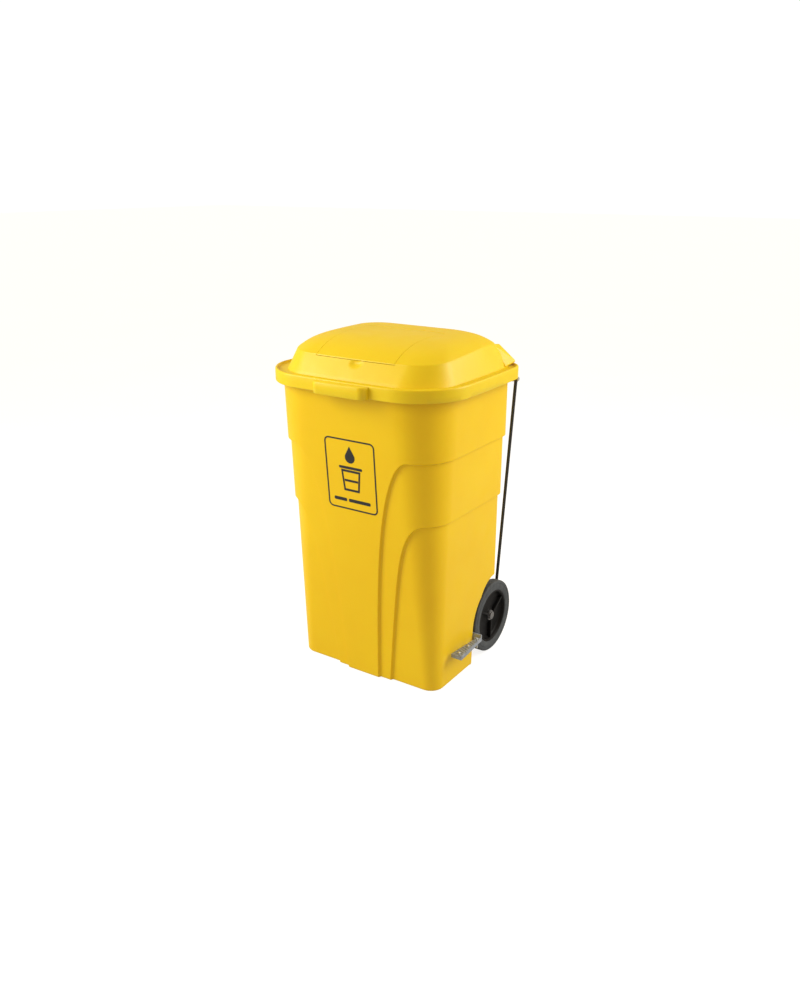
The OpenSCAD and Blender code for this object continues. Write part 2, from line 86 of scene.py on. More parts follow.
_, AXLE_Y, AXLE_Z = joint_at("wheel_right_spin")
_, HINGE_Y, HINGE_Z = joint_at("lid_hinge")
_, FLAP_Y, FLAP_AXIS_Z = joint_at("flap_hinge")
ROD_TOP = joint_at("rod_pivot")
NOTCH_FRONT = AXLE_Y - ARCH_R   # front wall of the wheel space
TUB_REAR = FOOT_OUTLINE[2]


# ---------------------------------------------------------------- mesh helpers


def linked(name, data):
    """A new object in the scene."""
    obj = bpy.data.objects.new(name, data)
    bpy.context.collection.objects.link(obj)
    return obj


def from_bmesh(name, bm):
    """A new object from a bmesh, which is used up."""
    mesh = bpy.data.meshes.new(name)
    bm.to_mesh(mesh)
    bm.free()
    return linked(name, mesh)


def add_mesh(name, verts, faces, angle=40):
    """A mesh object from millimetre points; edges sharper than angle stay sharp."""
    mesh = bpy.data.meshes.new(name)
    mesh.from_pydata((np.asarray(verts, float) * MM).tolist(), [], faces)
    mesh.validate()
    return smooth(linked(name, mesh), angle)


def smooth(obj, angle=40):
    """Smooth shading, but for edges sharper than angle degrees."""
    mesh = obj.data
    mesh.polygons.foreach_set("use_smooth", [True] * len(mesh.polygons))
    mesh.set_sharp_from_angle(angle=math.radians(angle))
    mesh.update()
    return obj


def ring_faces(rows, cols, closed=False):
    """Quads between stacked rings; closed joins the last ring to the first."""
    out = []
    for k in range(rows if closed else rows - 1):
        a = k * cols
        b = ((k + 1) % rows) * cols
        for i in range(cols):
            j = (i + 1) % cols
            out.append((a + i, a + j, b + j, b + i))
    return out


def caps(rows, cols):
    """The first and the last of the stacked rings, as faces."""
    return [tuple(range(cols))[::-1], tuple(range((rows - 1) * cols, rows * cols))]


def stack(name, rings):
    """A closed body from stacked rings with the same number of points."""
    rows, cols = len(rings), len(rings[0])
    faces = ring_faces(rows, cols) + caps(rows, cols)
    return add_mesh(name, np.concatenate(rings), faces)


def prism(name, low, high):
    """A closed body between two outlines with the same number of points."""
    cols = len(low)
    return fix_normals(add_mesh(name, low + high, caps(2, cols) + ring_faces(2, cols)))


def modifier(obj, kind, **settings):
    """Adds a modifier with its settings."""
    m = obj.modifiers.new(kind.lower(), kind)
    for key, value in settings.items():
        setattr(m, key, value)


def apply_all(obj):
    """Bakes the modifiers into the mesh."""
    graph = bpy.context.evaluated_depsgraph_get()
    mesh = bpy.data.meshes.new_from_object(obj.evaluated_get(graph))
    obj.modifiers.clear()
    old = obj.data
    obj.data = mesh
    bpy.data.meshes.remove(old)
    return obj


def cut(obj, tool, operation="DIFFERENCE"):
    """Boolean with a tool that is thrown away."""
    modifier(obj, "BOOLEAN", object=tool, operation=operation, solver="MANIFOLD")
    apply_all(obj)
    drop(tool)
    return obj


def drop(obj):
    """Removes an object and its mesh."""
    mesh = obj.data
    bpy.data.objects.remove(obj)
    bpy.data.meshes.remove(mesh)


def join(name, parts):
    """Merges objects into a new one; they are used up."""
    bm = bmesh.new()
    for p in parts:
        bm.from_mesh(p.data)
        drop(p)
    return smooth(from_bmesh(name, bm))


def soften(obj, round_mm):
    """Rounds the edges sharper than 35 degrees; 0 leaves them."""
    if round_mm:
        modifier(obj, "BEVEL", width=round_mm * MM, segments=3, limit_method="ANGLE",
                 angle_limit=math.radians(35), harden_normals=False)
        apply_all(obj)
    return smooth(obj, 50)


def slab(name, outline, x0, x1, round_mm):
    """A plate from x0 to x1 with a (y, z) outline and softened edges."""
    low, high = ([(x, y, z) for y, z in outline] for x in (x0, x1))
    return soften(prism(name, low, high), round_mm)


def plank(name, plan, z0, z1, round_mm):
    """A plate from z0 to z1 with an (x, y) plan and softened edges."""
    low, high = ([(x, y, z) for x, y in plan] for z in (z0, z1))
    return soften(prism(name, low, high), round_mm)


def fix_normals(obj):
    """Turns every face outward."""
    bm = bmesh.new()
    bm.from_mesh(obj.data)
    bmesh.ops.recalc_face_normals(bm, faces=bm.faces)
    bm.to_mesh(obj.data)
    bm.free()
    return obj


def box_mesh(name, lo, hi, round_mm):
    """A box between two corners, with softened edges."""
    outline = [(lo[1], lo[2]), (hi[1], lo[2]), (hi[1], hi[2]), (lo[1], hi[2])]
    return slab(name, outline, lo[0], hi[0], round_mm)


def lathe_x(name, profile, y, z):
    """A turned ring about an axis along X; profile is a closed line of (x, radius) points."""
    segments, angle = 128, 30
    turn = np.linspace(0, 2 * math.pi, segments, endpoint=False)
    verts = [(x, y + r * math.cos(t), z + r * math.sin(t)) for x, r in profile for t in turn]
    obj = add_mesh(name, verts, ring_faces(len(profile), segments, closed=True), angle)
    return smooth(fix_normals(obj), angle)


def arc(cy, cz, r, a0, a1, n):
    """Points on an arc, angles in degrees."""
    turn = [math.radians(a) for a in np.linspace(a0, a1, n)]
    return [(cy + r * math.cos(t), cz + r * math.sin(t)) for t in turn]


def round_bar(y, z, r, n=36):
    """Outline of a round bar along X, in (y, z)."""
    return arc(y, z, r, 0, 360 - 360 / n, n)


def turns_left(a, b, c):
    """Whether the way from a through b to c turns to the left."""
    return (b[0] - a[0]) * (c[1] - a[1]) - (b[1] - a[1]) * (c[0] - a[0]) > 0


def convex(points):
    """Convex outline of 2-D points, anticlockwise."""
    pts = sorted(set(points))

    def half(seq):
        out = []
        for p in seq:
            while len(out) > 1 and not turns_left(out[-2], out[-1], p):
                out.pop()
            out.append(p)
        return out[:-1]

    return half(pts) + half(pts[::-1])


# ---------------------------------------------------------------- outlines


def bends(o):
    """Distances along the right half of an outline where its two corners start and end.

    o is half-width, front, rear, front radius, rear radius; the middle of the front is 0.
    """
    hw, front, rear, rf, rr = o
    l1 = hw - rf
    l2 = l1 + rf * math.pi / 2
    l3 = l2 + rear - rr - front - rf
    l4 = l3 + rr * math.pi / 2
    return l1, l2, l3, l4


def edge_at(s, o):
    """Points and outward normals at distances s along the right half of an outline."""
    hw, front, rear, rf, rr = o
    l1, l2, l3, l4 = bends(o)
    s = np.asarray(s, float)
    t1 = (s - l1) / rf - math.pi / 2
    t2 = (s - l3) / rr
    same = 0 * s
    zone = [s < l1, s < l2, s < l3, s < l4]
    xs = [s, l1 + rf * np.cos(t1), hw + same, hw - rr + rr * np.cos(t2)]
    ys = [front + same, front + rf + rf * np.sin(t1), front + rf + s - l2, rear - rr + rr * np.sin(t2)]
    x = np.select(zone, xs, hw - rr - (s - l4))
    y = np.select(zone, ys, rear)
    nx = np.select(zone, [same, np.cos(t1), 1 + same, np.cos(t2)], 0)
    ny = np.select(zone, [-1 + same, np.sin(t1), same, np.sin(t2)], 1)
    return x, y, nx, ny


def stations(o, s0, front, side, corner, rear):
    """Distances from s0 round the front corner, the side, the rear corner and the rear line.

    The last four values say how many points each of these gets.
    """
    _, l2, l3, l4 = bends(o)
    middle = l4 + o[0] - o[4]
    spans = [(s0, l2, front), (l2, l3, side), (l3, l4, corner), (l4, middle, rear)]
    out = [a + (b - a) * np.arange(1, n + 1) / n for a, b, n in spans]
    out[-1] = out[-1][:-1]
    return np.concatenate(out)


def mirrored(x, y, z):
    """Closes the right half into a full ring."""
    x, y, z = (np.asarray(v, float) + np.zeros(len(x)) for v in (x, y, z))
    return np.concatenate([np.stack([x, y, z], 1), np.stack([-x, y, z], 1)[:0:-1]])


def unit(t):
    """Held between 0 and 1."""
    return np.clip(t, 0, 1)


def ease(t):
    """Rises smoothly from 0 to 1."""
    t = unit(t)
    return t * t * (3 - 2 * t)


# ---------------------------------------------------------------- tub


def tub_outline(z):
    """The tub's outline at height z."""
    t = z / TAPER_H
    return tuple(foot + gain * t for foot, gain in zip(FOOT_OUTLINE, OUTLINE_GAIN))


def flare(z, top, w0, lean, fan, q):
    """Half-width of a panel that leans outward and fans out towards its top."""
    t = unit(np.asarray(z, float) / top)
    return w0 + lean * t**1.1 + fan * (1 - np.sqrt(np.maximum(0, 1 - t**q)))


def panel_a(z):
    """Half-width of the raised front panel, inside the upper step."""
    return flare(z, STEP_HI, w0=50, lean=40, fan=83, q=3.75)


def panel_b(z):
    """Half-width of what lies inside the lower step."""
    return flare(z, STEP_LO, w0=86, lean=60, fan=64, q=8)


def curve_points(half_width, top):
    """The step's edge as a line in (distance along the wall, height)."""
    turn = 60.0   # the last stretch below the top, where the line bends over
    crowded = turn * (1 - np.linspace(0, 1, 80)[1:]) ** 2
    z = np.concatenate([[-30], np.linspace(0, top - turn, 60), top - crowded])
    line = np.stack([half_width(z), z], 1)
    return np.concatenate([line, [[900.0, top]]])


def inside_by(s, z, half_width, top, line):
    """Distance from the step's edge, positive on its sunken side."""
    a, b = line[:-1], line[1:]
    d = b - a
    p = np.stack([s, np.full_like(s, z)], 1)[:, None, :]
    t = unit(((p - a) * d).sum(2) / (d * d).sum(1))
    near = np.sqrt((((p - a) - t[..., None] * d) ** 2).sum(2)).min(1)
    sunk = (z < top) & (s > half_width(z))
    return np.where(sunk, near, -near)


LINE_A = curve_points(panel_a, STEP_HI)
LINE_B = curve_points(panel_b, STEP_LO)
# Points across a step, as distances along the wall from its edge
ACROSS = np.array([-2.5, -1, -0.3, 0.4, 1.2, 2, 2.8, 3.6, 4.4, 5.2, 6.2, 8.5])


def tub_ring(z, inset):
    """One ring of the tub wall at height z, sunk by the steps and by inset."""
    o = tub_outline(z)

    def spread(f):
        """How much wider a leaning step is when it is crossed level."""
        slope = float(f(z + 0.5) - f(z - 0.5))
        return min(math.sqrt(1 + slope * slope), 2.4)

    a, b = float(panel_a(z)), float(panel_b(min(z, STEP_LO)))
    ka, kb = spread(panel_a), spread(panel_b) if z < STEP_LO else 1.0
    b = max(b, a + 9 * ka + 3.5 * kb)   # keeps the two sets of points apart
    s_a, s_b = a + ACROSS * ka, b + ACROSS * kb
    s = np.concatenate([
        s_a[0] * np.arange(12) / 12, s_a,
        s_a[-1] + (s_b[0] - s_a[-1]) * np.arange(1, 6) / 6, s_b,
        stations(o, s_b[-1], 30, 12, 14, 10)])
    x, y, nx, ny = edge_at(s, o)
    sunk = STEP_D * ease(inside_by(s, z, panel_a, STEP_HI, LINE_A) / STEP_RUN)
    sunk = sunk + STEP_D * ease(inside_by(s, z, panel_b, STEP_LO, LINE_B) / STEP_RUN)
    d = sunk + inset
    if inset < -1:
        d = d + 2 * np.maximum(ny, 0)   # the rim stands out 2 mm less at the back
    return mirrored(x - nx * d, y - ny * d, z)


def heights(z0, z1, coarse, fine):
    """Row heights, closer together beside the two steps."""
    near = 8
    rows = list(np.arange(z0, z1, coarse))
    for level in (STEP_LO, STEP_HI):
        middle = level - 2
        rows = [z for z in rows if abs(z - middle) > near]
        rows += list(middle + np.arange(-near, near + 0.01, fine))
    return sorted(rows) + [z1]


def tub_body():
    """The tub's wall as one closed skin: up the outside, over the rim and down the inside."""
    foot_r, inside_r, floor_z = 5.0, 9.0, 5.0
    turn = np.radians(np.linspace(0, 90, 6))
    rings = [tub_ring(foot_r * (1 - math.cos(t)), foot_r * (1 - math.sin(t))) for t in turn[:-1]]
    under = TUB_TOP - RIM_T
    rings += [tub_ring(z, 0) for z in heights(foot_r, under - 3, 5, 1)]
    rim = [(under - 1, -0.6), (under, -2.5), (under, -RIM_REACH + 1), (under + 1, -RIM_REACH),
           (TUB_TOP - 1.2, -RIM_REACH), (TUB_TOP, -RIM_REACH + 1.2), (TUB_TOP, WALL - 1),
           (TUB_TOP - 1, WALL)]
    rings += [tub_ring(z, inset) for z, inset in rim]
    bottom = floor_z + inside_r
    rings += [tub_ring(z, WALL) for z in heights(bottom, TUB_TOP - 4, 14, 2)[::-1]]
    rings += [tub_ring(bottom - inside_r * math.sin(t), WALL + inside_r * (1 - math.cos(t)))
              for t in turn[1:]]
    return stack("tub_shell", rings)


def notch_outline(grow):
    """Wheel space in (y, z): straight up in front, round the wheel, then level to the back."""
    r1, r2 = ARCH_R + grow, ARCH_TOP_R + grow
    cz = ARCH_TOP - ARCH_TOP_R
    # Where the two arcs meet: above and in front of the axle, then as angles about each centre
    rise = (r1 * r1 - r2 * r2 + (cz - AXLE_Z) ** 2) / (2 * (cz - AXLE_Z))
    reach = -math.sqrt(r1 * r1 - rise * rise)
    low = math.degrees(math.atan2(rise, reach))
    high = math.degrees(math.atan2(AXLE_Z + rise - cz, reach))
    sweep = arc(AXLE_Y, AXLE_Z, r1, 180, low, 14)[:-1] + arc(AXLE_Y, cz, r2, high, 90, 32)
    past_rear, under_floor = AXLE_Y + 200, -20
    start = [(NOTCH_FRONT - grow, under_floor)]
    return start + sweep + [(past_rear, ARCH_TOP + grow), (past_rear, under_floor)]


def wheel_space_wall():
    """The wall over the wheel space, as far out as the tub's own wall."""
    band = notch_outline(WALL)[:-1] + notch_outline(0)[:-1][::-1]
    wall = slab("liner", band, -PAST_SIDES, PAST_SIDES, 0)
    inside = [tub_ring(z, 1.0) for z in np.arange(0, 301, 10)]
    return cut(wall, stack("core", inside), "INTERSECT")


def axle_ribs():
    """Four ribs across the wheel space, which end round the axle."""
    sunk, rear, thick = 1.5, 202, 10
    boss = arc(AXLE_Y, AXLE_Z, 21, 40, -125, 20)
    outline = [(NOTCH_FRONT - sunk, 30)] + notch_outline(sunk)[1:-2]
    outline += [(rear, ARCH_TOP + sunk), (rear, 190)] + boss
    return [slab("rib", outline, x - thick / 2, x + thick / 2, 1.2) for x in (-155, -60, 60, 155)]


def hinge_ears():
    """Pairs of ears on the rear wall, one pair round each lid hinge."""
    knee = round_bar(HINGE_Y - 4, HINGE_Z - 22, 6, 24)
    foot = [(y, HINGE_Z - drop_by) for y in (TUB_REAR - 2.5, TUB_REAR) for drop_by in (60, 10)]
    upper = convex(round_bar(HINGE_Y, HINGE_Z, 8.5, 24) + knee)
    lower = convex(knee + foot)
    ears = []
    for side in SIDES:
        for x in (HINGE_X - 22, HINGE_X + 16):
            span = sorted((side * x, side * (x + 6)))
            ears += [slab("ear", upper, *span, 0.6), slab("ear_foot", lower, *span, 0.6)]
    return ears


def tub():
    """The tub's moulding."""
    shell = cut(tub_body(), slab("notch", notch_outline(0), -PAST_SIDES, PAST_SIDES, 0))
    obj = join("tub_moulding", [shell, wheel_space_wall()] + axle_ribs() + hinge_ears())
    obj.data.set_sharp_from_angle(angle=math.radians(38))
    return obj


# ---------------------------------------------------------------- lid

# Outline of the skirt: half-width, front, rear, front radius, rear radius
BAND = (276.3, -223.9, 223.9, 134.0, 62.0)
RISE_LEN = 220.0   # distance over which a dome section rises from its front to its rear height
DOME_BEND = 860.0   # height from which the inside of the dome's wall is lowered too

# Dome sections from the foot to the top: outline, front height, rear height
DOME = [
    ((243.5, -191, 214, 101, 40), GUTTER_Z, GUTTER_Z),
    ((241.5, -189, 212, 100, 39), 839, 839),
    ((222.5, -158.5, 163, 74, 30), 882.5, 899),
    ((219, -154, 160, 72, 28), 887, 902),
    ((205, -126, 155, 66, 30), 903, 910),
    ((186, -94, 149, 60, 34), 914.5, 918),
    ((160, -56, 142, 56, 40), 923, 923.5),
    ((126, -12, 134, 50, 44), 926, 926),
    ((60, 40, 110, 25, 25), 927, 927),
]


def shrunk(o, d):
    """An outline moved inward by d."""
    return (o[0] - d, o[1] + d, o[2] - d, max(o[3] - d, 4), max(o[4] - d, 4))


def lid_ring(o, z_front, z_rear):
    """A ring of the lid, bowed outward at the front and the sides."""
    hw, front, rear, rf, _ = o
    s0 = (hw - rf) * 0.96
    s = np.concatenate([s0 * np.arange(40) / 40, [s0], stations(o, s0, 34, 18, 18, 14)])
    x, y, _, _ = edge_at(s, o)
    across = unit(x / hw)
    along = np.clip((y - (front + rear) / 2) / ((rear - front) / 2), -1, 1)
    side_bow = 6.1 * (1 - along * along) * across**3
    front_bow = 8.4 * hw / 276 * (1 - across * across) * np.abs(along) ** 3
    z = z_front + (z_rear - z_front) * unit((y - front) / RISE_LEN)
    return mirrored(x + side_bow, y - np.where(along < 0, front_bow, 0), z)


def between(sections, steps):
    """Catmull-Rom curve through lists of numbers."""
    pts = np.array([list(o) + [a, b] for o, a, b in sections], float)
    pts = np.concatenate([[2 * pts[0] - pts[1]], pts, [2 * pts[-1] - pts[-2]]])
    out = []
    for k in range(1, len(pts) - 2):
        p0, p1, p2, p3 = pts[k - 1:k + 3]
        for t in np.arange(steps) / steps:
            out.append(0.5 * (2 * p1 + (p2 - p0) * t + (2 * p0 - 5 * p1 + 4 * p2 - p3) * t * t
                              + (3 * p1 - p0 - 3 * p2 + p3) * t**3))
    out.append(pts[-2])
    return [(tuple(p[:5]), p[5], p[6]) for p in out]


def dome_rings(d):
    """Rings of the dome from the foot up, sunk by the wall thickness d."""
    foot, base = DOME[0], DOME[1]
    sunk = d * 0.9

    def lowered(z):
        """A height on the wall, lowered by half the thickness where the dome bends over."""
        return z - (d if z > DOME_BEND else 0) * 0.5

    if d:
        rings = [lid_ring(shrunk(foot[0], sunk), foot[1] - d, foot[2] - d)]
    else:
        fillet = ((-1.5, 0), (0.2, 0.5), (1.1, 2.0))
        rings = [lid_ring(shrunk(foot[0], t), foot[1] + up, foot[2] + up) for t, up in fillet]
    rings.append(lid_ring(shrunk(base[0], sunk), base[1], base[2]))
    wall = between([base, DOME[2]], 10)[1:-1]
    rings += [lid_ring(shrunk(o, sunk), lowered(a), lowered(b)) for o, a, b in wall]
    for k, (o, a, b) in enumerate(between(DOME[2:], 5)):
        rings.append(lid_ring(shrunk(o, sunk * max(0, 1 - k / 6)), a - d, b - d))
    last = rings[-1]
    centre = np.array([0, 75, last[0, 2]])
    rings += [centre + (last - centre) * [f, f, f * f] for f in (0.7, 0.4, 0.15)]
    return rings


def lid_shell():
    """The whole moulding, skirt, channel and dome, as one closed wall."""
    edge = SKIRT_Z + 1.2
    # Distance in from the skirt's outline, and height: up the skirt, over the lip, into the channel
    outside = [(1, SKIRT_Z), (0, edge), (0, 822), (0, 836), (0.5, 838.4), (1.6, 839.8), (4, LIP_Z),
               (6.4, 839.8), (7.6, 838.2), (8.4, 836), (9.4, GUTTER_Z + 0.3), (11, GUTTER_Z)]
    inside = [(2.6, SKIRT_Z), (LID_WALL, edge), (LID_WALL, GUTTER_Z - LID_WALL)]
    outer = [lid_ring(shrunk(BAND, d), z, z) for d, z in outside] + dome_rings(0)
    inner = [lid_ring(shrunk(BAND, d), z, z) for d, z in inside] + dome_rings(LID_WALL)
    return fix_normals(stack("lid_shell", inner[::-1] + outer))


def finger_dent(obj):
    """Presses a shallow finger scoop into the dome's front wall, under the flap's edge."""
    half_w, half_h, depth = 21, 8, 5
    co = np.empty(len(obj.data.vertices) * 3)
    obj.data.vertices.foreach_get("co", co)
    co = co.reshape(-1, 3) / MM
    x, y, z = co.T
    reach = ((x - GRIP_X) / half_w) ** 2 + ((z - DENT_Z) / half_h) ** 2
    push = np.where((y < -120) & (z > 850), depth * ease(1 - reach), 0)
    co[:, 1] += push * 0.9
    co[:, 2] -= push * 0.4
    obj.data.vertices.foreach_set("co", (co * MM).ravel())
    obj.data.update()


def flap_zone(gap):
    """The flap's space: straight sides, softened corners, open at the top."""
    w = FLAP_HW - gap
    back = FLAP_Y + (4.5 if gap else 8.5)
    r, before_lid, above_lid = 3.0, -260.0, 1000.0
    plan = arc(w - r, back - r, r, 0, 90, 7) + arc(-w + r, back - r, r, 90, 180, 7)
    plan += [(-w, before_lid), (w, before_lid)]
    low, high = ([(x, y, z) for x, y in plan] for z in (FLAP_Z + gap, above_lid))
    return prism("zone", low, high)


def fairing(side):
    """Rise from each rear corner of the lip to the dome, over the hinge side."""
    # Centre and radius of the balls at its corners
    balls = [((214, 150, 891), 5), ((216, 178, 887), 5), ((206, 205, 846), 5), ((247, 206, 846), 5),
             ((243, 166, 839), 4)]
    bm = bmesh.new()
    for (x, y, z), r in balls:
        at = Matrix.Translation(Vector((side * x, y, z)) * MM)
        bmesh.ops.create_icosphere(bm, subdivisions=3, radius=r * MM, matrix=at)
    hull = bmesh.ops.convex_hull(bm, input=bm.verts)
    bmesh.ops.delete(bm, geom=hull["geom_interior"], context="VERTS")
    return from_bmesh("fairing", bm)


def grip():
    """Pull at the middle of the skirt's front, hollow underneath."""
    half, r, top = 80.0, 20.0, SKIRT_Z + 30
    centre_y, rear_y = -233, -216

    def plan(d):
        right = arc(half - r, centre_y, r - d, 0, -90, 12)
        left = arc(-half + r, centre_y, r - d, -90, -180, 12)
        return [(half - d, rear_y)] + right + left + [(-half + d, rear_y)]

    # Distance in from the outline, and height: down the inside, round the edge, up to the top
    layers = [(4, SKIRT_Z + 24), (4, SKIRT_Z + 1), (3.2, SKIRT_Z), (0.8, SKIRT_Z), (0, SKIRT_Z + 1),
              (0, top - 3), (0.9, top - 0.9), (3, top)]
    return fix_normals(stack("grip", [[(x + GRIP_X, y, z) for x, y in plan(d)] for d, z in layers]))


def hinge_knuckles():
    """What the lid's pins and the flap's pins pass through, and the lug of the push rod."""
    web = convex(round_bar(HINGE_Y, HINGE_Z, 8.5) + [(221, 812), (221, 832), (223.5, 832)])
    boss = round_bar(FLAP_Y, FLAP_AXIS_Z, 5)
    parts = []
    for side in SIDES:
        span = sorted((side * (HINGE_X - 15), side * (HINGE_X + 15)))
        parts.append(slab("knuckle", web, *span, 0.8))
        ends = sorted((side * (FLAP_HW + 0.5), side * (FLAP_HW + 9)))
        parts.append(slab("flap_boss", boss, *ends, 0.5))
    root = [(y, z) for y in (213.5, 220.5) for z in (812, 824)]
    lug = convex(round_bar(ROD_TOP[1], ROD_TOP[2], 8) + root)
    return parts + [slab("rod_lug", lug, 240, 246, 0.7)]


def flap_hinge():
    """Pivot bar and barrel along the flap's hinge, and the webs that carry them."""
    w = FLAP_HW - 1
    # The barrel is flat on top, to stay below the dome
    barrel = [(y, min(z, FLAP_AXIS_Z + 6.4)) for y, z in arc(FLAP_Y, FLAP_AXIS_Z, 8.1, 0, 350, 48)]
    parts = [slab("pivot", round_bar(FLAP_Y, FLAP_AXIS_Z, 4), -w, w, 0.5)]
    parts.append(slab("barrel", convex(barrel), -w + 4, w - 4, 0.5))
    for x in (-90, -30, 30, 90):
        low = (x - 2, FLAP_Y - 26, FLAP_AXIS_Z - 1)
        high = (x + 2, FLAP_Y, FLAP_AXIS_Z + 3.6)
        parts.append(box_mesh("web", low, high, 0.4))
    return parts


def lid():
    """The lid and its flap, cut from one dome."""
    shell = lid_shell()
    finger_dent(shell)
    flap_part = linked("flap_part", shell.data.copy())
    cut(shell, flap_zone(0))
    cut(flap_part, flap_zone(1), "INTERSECT")
    body = join("lid_moulding", [shell, fairing(-1), fairing(1), grip()] + hinge_knuckles())
    return body, join("lid_flap_moulding", [flap_part] + flap_hinge())


# ---------------------------------------------------------------- wheels


def wheel(side):
    """Tyre and hub of one wheel; outlines are (x, radius) for the right wheel."""
    x_in, x_out, r_out, r_hub, turn = 203.5, 231.0, 105.0, 77.0, 5.0
    middle = (x_in + x_out) / 2

    def shoulder(cx, a0, a1):
        angles = np.radians(np.linspace(a0, a1, 9))
        return [(cx + turn * math.cos(a), r_out - turn + turn * math.sin(a)) for a in angles]

    def turned(name, profile):
        return lathe_x(name, [(side * x, r) for x, r in profile], AXLE_Y, AXLE_Z)

    tread = shoulder(x_in + turn, 180, 90)
    for g in (-4.5, 4.5):   # two grooves round the tread
        mid = middle + g
        tread += [(mid - 1.1, r_out), (mid - 0.7, r_out - 1), (mid + 0.7, r_out - 1), (mid + 1.1, r_out)]
    tread += shoulder(x_out - turn, 90, 0)
    wall = [(x_out, r_out - 9), (x_out - 0.8, r_out - 9.6), (x_out - 0.8, r_out - 11), (x_out, r_out - 11.6),
            (x_out - 0.2, r_hub + 3), (x_out - 1.8, r_hub + 0.2)]
    inner = [(x_in + 1.8, r_hub + 0.2), (x_in + 0.2, r_hub + 3), (x_in, r_out - 12)]
    tyre = turned("tyre", tread + wall + inner)
    a, b = x_in + 2, x_out - 2   # faces of the hub's rim, then of its disc
    back, front = x_in + 9, x_in + 13
    bore, boss_in, boss_out = 11.1, 194.5, 219.6
    rim = [(a, r_hub - 0.2), (b, r_hub - 0.2), (b, r_hub - 4), (b - 1.2, r_hub - 5.4), (b - 6, r_hub - 6.4)]
    face = [(front + 2, r_hub - 8.5), (front, r_hub - 12), (front, 24), (front + 2, 21.4)]
    boss = [(boss_out - 1, 19.6), (boss_out, 18.6), (boss_out, bore), (boss_in, bore), (boss_in, 18.6),
            (boss_in + 1, 20)]
    rear = [(back - 2, 21), (back, 24), (back, r_hub - 11), (back - 2.5, r_hub - 7.5), (a + 1, r_hub - 6)]
    parts = [turned("disc", rim + face + boss + rear)]
    centre = Matrix.Translation(Vector((0, AXLE_Y, AXLE_Z)) * MM)
    spokes, spoke_foot, spoke_half = 3, 17, 2.8
    x0, x1 = sorted((side * (x_in + 12), side * (x_in + 23)))
    for k in range(spokes):
        spoke = box_mesh("spoke", (x0, spoke_foot, -spoke_half), (x1, r_hub - 6, spoke_half), 1.0)
        spoke.data.transform(centre @ Matrix.Rotation(math.radians(30 + 360 / spokes * k), 4, "X"))
        parts.append(spoke)
    return tyre, join("hub", parts)


# ---------------------------------------------------------------- pedal


def tilted(degrees, x, y, z):
    """A turn about X, then a move in millimetres."""
    return Matrix.Translation(Vector((x, y, z)) * MM) @ Matrix.Rotation(math.radians(degrees), 4, "X")


def tread():
    """Ribbed steel tread with turned-down edges, narrower to the rear."""
    x0, x1, length, top, edge = 236.0, 268.0, 96.0, 12.0, 2.5
    narrow_in, narrow_out, overhang = 14, 3, 8
    low, high = 1, 10.5   # the turned-down edges
    rib_count, rib_y, rib_pitch, rib_half, rib_slant = 10, 8.0, 8.8, 1.3, -20

    def inner(y, d=0.0):
        return x0 + narrow_in * y / length + d

    def outer(y, d=0.0):
        return x1 - narrow_out * y / length - d

    def strip(side, y0, y1):
        a, b = (inner(y0), inner(y1)) if side < 0 else (outer(y0, edge), outer(y1, edge))
        return [(a, y0), (a + edge, y0), (b + edge, y1), (b, y1)]

    plan = [(inner(0), 0), (outer(0), 0), (outer(length), length), (inner(length), length)]
    parts = [plank("plate", plan, 9.05, top, 0.6)]
    parts += [plank("edge", strip(side, 0, length), low, high, 0.5) for side in SIDES]
    parts.append(plank("nose", [(x0, 0), (x1, 0), (x1, edge), (x0, edge)], low, high, 0.5))
    slope = math.tan(math.radians(rib_slant))
    for k in range(rib_count):
        y = rib_y + rib_pitch * k
        a, b = inner(y, 1.5), outer(y, 1.5)
        ya, yb = (y + (x - (a + b) / 2) * slope for x in (a, b))
        rib = [(a, ya - rib_half), (b, yb - rib_half), (b, yb + rib_half), (a, ya + rib_half)]
        parts.append(plank("rib", rib, top - 0.4, top + 1.25, 0.55))
    for part in parts:
        part.data.transform(Matrix.Translation((0, -overhang * MM, 0)))
        part.data.transform(tilted(PAD_TILT, 0, PAD_Y, PAD_Z))
    return join("pedal_tread_plate", parts)


# ---------------------------------------------------------------- label


